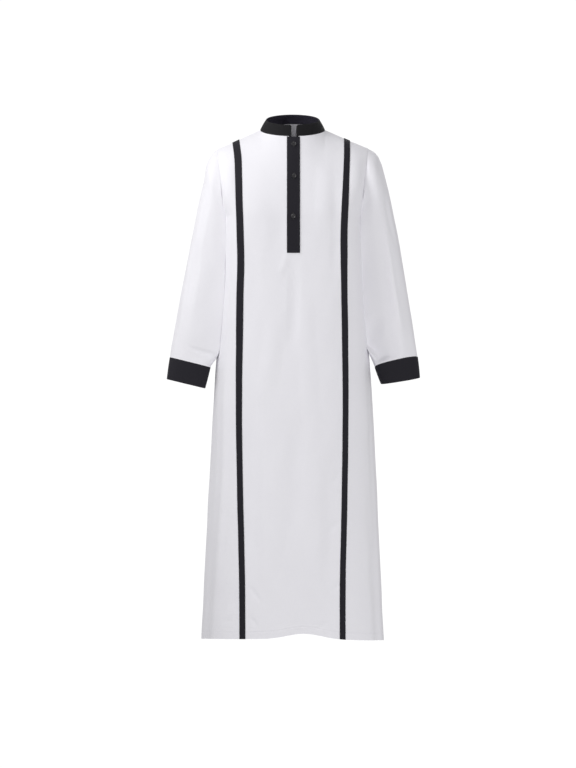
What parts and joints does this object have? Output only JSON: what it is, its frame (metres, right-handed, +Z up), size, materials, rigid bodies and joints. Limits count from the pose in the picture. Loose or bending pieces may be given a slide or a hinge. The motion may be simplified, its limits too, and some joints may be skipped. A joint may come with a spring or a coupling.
{
  "type": "thobe robe",
  "caption": "Ankle-length loose robe of white cloth, worn form and hollow, with a black standing collar, half placket, lengthwise tapes and cuffs.",
  "frame": {"origin": "between the two high shoulder points, level with them, where the wearer's neck and shoulders hold the robe up", "axes": "+Z up, the front faces -Y, +X is the left arm's side of the wearer (the viewer's right from the front)"},
  "size_m": [0.6927, 0.3366, 1.4532],
  "materials": {
    "white_cloth": "smooth plain-woven polyester and cotton, faintly lustrous",
    "black_cloth": "fine matt twill, pressed flat and topstitched",
    "button_plastic": "satin, with a raised rim and four holes"
  },
  "bodies": {
    "root": {"front": "white_cloth", "back": "white_cloth", "sleeve_left": "white_cloth", "sleeve_right": "white_cloth", "collar": "black_cloth", "placket_upper": "black_cloth", "placket_under": "black_cloth", "tape_left": "black_cloth", "tape_right": "black_cloth", "cuff_left": "black_cloth", "cuff_right": "black_cloth", "button_1": "button_plastic", "button_2": "button_plastic", "button_3": "button_plastic"}
  },
  "joints": []
}
